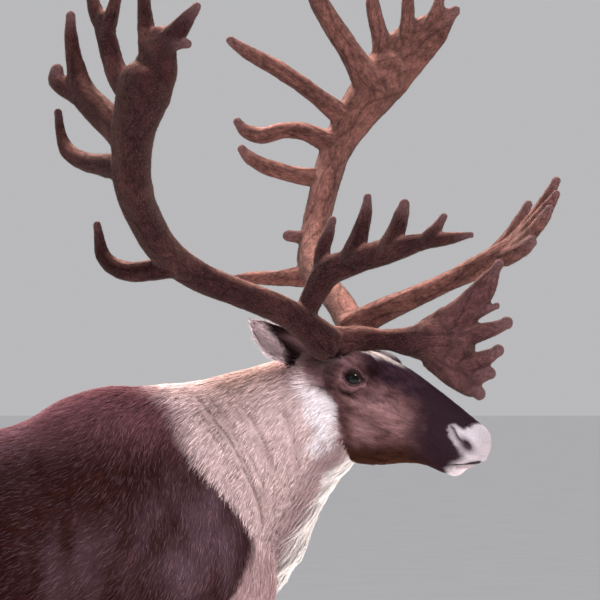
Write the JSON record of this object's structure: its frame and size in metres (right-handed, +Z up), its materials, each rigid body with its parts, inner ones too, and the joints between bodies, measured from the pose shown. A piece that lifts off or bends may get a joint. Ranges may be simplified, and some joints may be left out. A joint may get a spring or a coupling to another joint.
{
  "type": "reindeer",
  "caption": "Life-size standing reindeer bull in a short summer coat with a pale throat mane, large branched antlers in velvet, and its head turned to its right.",
  "frame": {"origin": "on the floor, under the centre of the bounding box", "axes": "+X along the body towards the head, +Y to the animal's left, +Z up"},
  "size_m": [1.9484, 1.0184, 1.9999],
  "materials": {
    "body_coat": "short dense dark brown coat",
    "leg_coat": "very short dark brown hair",
    "neck_coat": "pale grey brown hair with a long mane under the throat",
    "face_coat": "very short brown hair, white about the nose and lips",
    "velvet": "brown velvet skin with a fine fuzz",
    "hoof": "dark worn horn",
    "eye": "wet, nearly black"
  },
  "bodies": {
    "root": {"antler_left_bez": "velvet", "antler_left_brow": "velvet", "antler_left_front_crown": "velvet", "antler_left_lower_beam": "velvet", "antler_left_lower_tine": "velvet", "antler_left_middle_tine": "velvet", "antler_left_rear_crown": "velvet", "antler_left_rear_tine": "velvet", "antler_left_upper_beam": "velvet", "antler_left_upper_tine": "velvet", "antler_right_bez": "velvet", "antler_right_brow": "velvet", "antler_right_front_crown": "velvet", "antler_right_lower_beam": "velvet", "antler_right_middle_tine": "velvet", "antler_right_rear_crown": "velvet", "antler_right_rear_tine": "velvet", "antler_right_upper_beam": "velvet", "antler_right_upper_tine": "velvet", "ear_left": "face_coat", "ear_right": "face_coat", "eye_left": "eye", "eye_right": "eye", "foreleg_left": "leg_coat", "foreleg_left_claw_inner": "hoof", "foreleg_left_claw_outer": "hoof", "foreleg_left_dewclaw_inner": "hoof", "foreleg_left_dewclaw_outer": "hoof", "foreleg_right": "leg_coat", "foreleg_right_claw_inner": "hoof", "foreleg_right_claw_outer": "hoof", "foreleg_right_dewclaw_inner": "hoof", "foreleg_right_dewclaw_outer": "hoof", "head": "face_coat", "hindleg_left": "leg_coat", "hindleg_left_claw_inner": "hoof", "hindleg_left_claw_outer": "hoof", "hindleg_left_dewclaw_inner": "hoof", "hindleg_left_dewclaw_outer": "hoof", "hindleg_right": "leg_coat", "hindleg_right_claw_inner": "hoof", "hindleg_right_claw_outer": "hoof", "hindleg_right_dewclaw_inner": "hoof", "hindleg_right_dewclaw_outer": "hoof", "neck": "neck_coat", "tail": "body_coat", "torso": "body_coat"}
  },
  "joints": []
}
